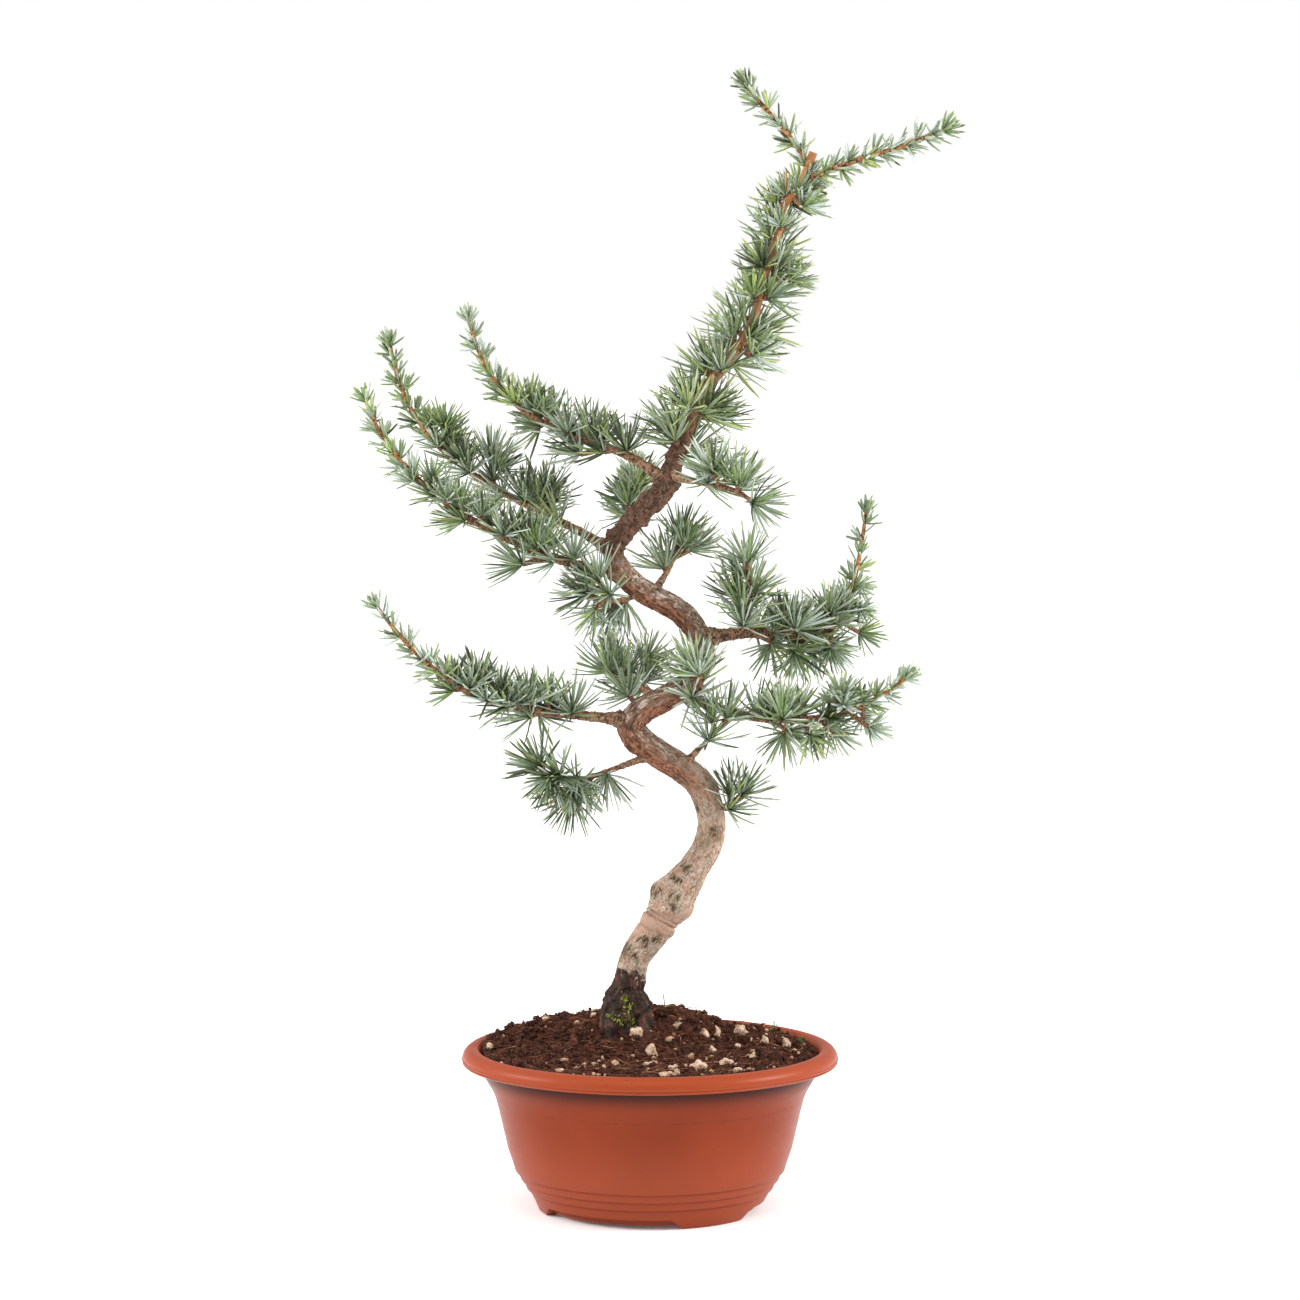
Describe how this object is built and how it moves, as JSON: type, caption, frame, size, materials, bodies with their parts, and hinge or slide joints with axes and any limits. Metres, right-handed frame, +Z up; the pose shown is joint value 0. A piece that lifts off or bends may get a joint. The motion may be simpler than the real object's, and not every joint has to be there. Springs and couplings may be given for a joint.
{
  "type": "potted blue atlas cedar bonsai",
  "caption": "Bonsai blue atlas cedar with a winding bare trunk, upswept boughs and open clusters of blue-green needles, in a round terracotta-coloured plastic bowl heaped with soil.",
  "frame": {"origin": "on the ground under the middle of the bowl, on the axis the bowl is turned about", "axes": "+Z up, +X to the right and -Y towards the viewer of the front"},
  "size_m": [0.3472, 0.22, 0.6635],
  "materials": {
    "bowl_plastic": "satin moulded plastic, terracotta coloured",
    "soil": "rough dark brown fibrous peat with pale pumice grains",
    "bark": "rough grey-pink bark, dark and mossy at its foot, smoother and redder up the leader",
    "bough_bark": "knobbly ringed brown bark",
    "needles": "waxy blue-green needles with yellow-green tips"
  },
  "bodies": {
    "root": {"pot": "bowl_plastic", "soil": "soil", "trunk": "bark", "bough_low_left": "bough_bark", "bough_low_left_twig": "bough_bark", "bough_low_right": "bough_bark", "bough_mid_right": "bough_bark", "bough_mid_left": "bough_bark", "bough_back_left": "bough_bark", "bough_upper_left": "bough_bark", "bough_upper_right": "bough_bark", "bough_fork": "bough_bark", "bough_back_low": "bough_bark", "bough_back_mid": "bough_bark", "bough_mid_right_fan": "bough_bark", "bough_back_high": "bough_bark", "foliage_low_left": "needles", "foliage_low_left_twig": "needles", "foliage_low_right": "needles", "foliage_mid_right": "needles", "foliage_mid_left": "needles", "foliage_back_left": "needles", "foliage_upper_left": "needles", "foliage_upper_right": "needles", "foliage_fork": "needles", "foliage_back_low": "needles", "foliage_back_mid": "needles", "foliage_mid_right_fan": "needles", "foliage_back_high": "needles", "foliage_front": "needles", "foliage_left": "needles", "foliage_right": "needles", "foliage_mid_low": "needles", "foliage_tip_left": "needles", "foliage_tip_right": "needles", "foliage_leader_1_1": "needles", "foliage_leader_1_2": "needles", "foliage_leader_1_3": "needles", "foliage_leader_2_1": "needles", "foliage_leader_2_2": "needles", "foliage_leader_2_3": "needles", "foliage_leader_3_1": "needles", "foliage_leader_3_2": "needles", "foliage_leader_3_3": "needles", "foliage_leader_4_1": "needles", "foliage_leader_4_2": "needles", "foliage_leader_4_3": "needles"}
  },
  "joints": []
}
